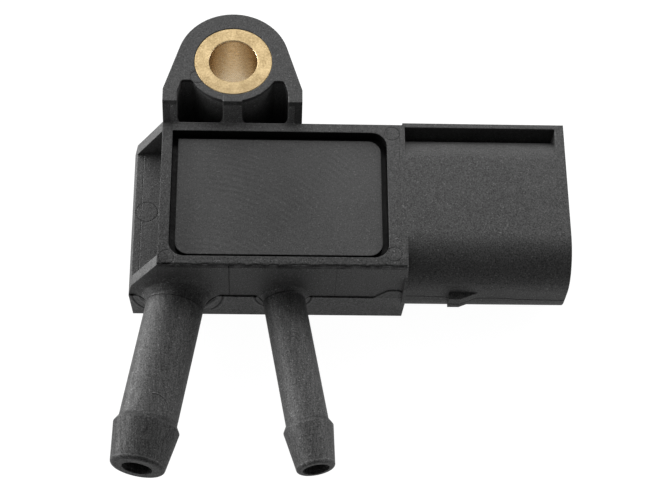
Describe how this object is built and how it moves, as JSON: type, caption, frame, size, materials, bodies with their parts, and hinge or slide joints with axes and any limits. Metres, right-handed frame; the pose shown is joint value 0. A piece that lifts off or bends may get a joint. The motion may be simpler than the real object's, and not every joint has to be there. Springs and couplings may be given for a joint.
{
  "type": "dpf differential pressure sensor",
  "caption": "Flat black moulded sensor with a recessed cover, a brass-bushed mounting lug, a large and a small barbed hose nipple and a keyed connector shroud.",
  "frame": {"origin": "axis of the bush in the mounting lug, at the back face that lies on the bracket", "axes": "+Z out of the back face through the cover, along the bolt; +X towards the mouth of the connector; +Y from the hose nipples towards the mounting lug"},
  "size_m": [0.0596, 0.0617, 0.0179],
  "materials": {
    "black_plastic": "fine-grained glass-filled moulding, faintly satin",
    "cover_plastic": "fine-grained moulding, a little greyer than the housing",
    "sealant": "cured silicone bead",
    "bush_brass": "turned, pale and slightly dull",
    "terminal_metal": "tinned",
    "board": "solder mask",
    "cell_plastic": "moulded",
    "lid_metal": "stamped",
    "die_glass": "cut glass",
    "die_silicon": "polished silicon",
    "gel": "clear soft gel",
    "chip_plastic": "moulded package",
    "ceramic": "fired ceramic"
  },
  "bodies": {
    "root": {"housing": "black_plastic", "cover_plate": "cover_plastic", "cover_seal": "sealant", "mounting_bush": "bush_brass", "terminal_supply": "terminal_metal", "terminal_signal": "terminal_metal", "terminal_ground": "terminal_metal", "circuit_board": "board", "sensor_cell": "cell_plastic", "cell_lid": "lid_metal", "die_pedestal": "die_glass", "pressure_die": "die_silicon", "protective_gel": "gel", "port_seal_large": "sealant", "port_seal_small": "sealant", "signal_chip": "chip_plastic", "cell_lead_1": "terminal_metal", "capacitor_1": "ceramic", "cell_lead_2": "terminal_metal", "capacitor_2": "ceramic", "cell_lead_3": "terminal_metal", "capacitor_3": "ceramic", "cell_lead_4": "terminal_metal", "capacitor_4": "ceramic", "resistor_1": "chip_plastic", "resistor_2": "chip_plastic"}
  },
  "joints": []
}
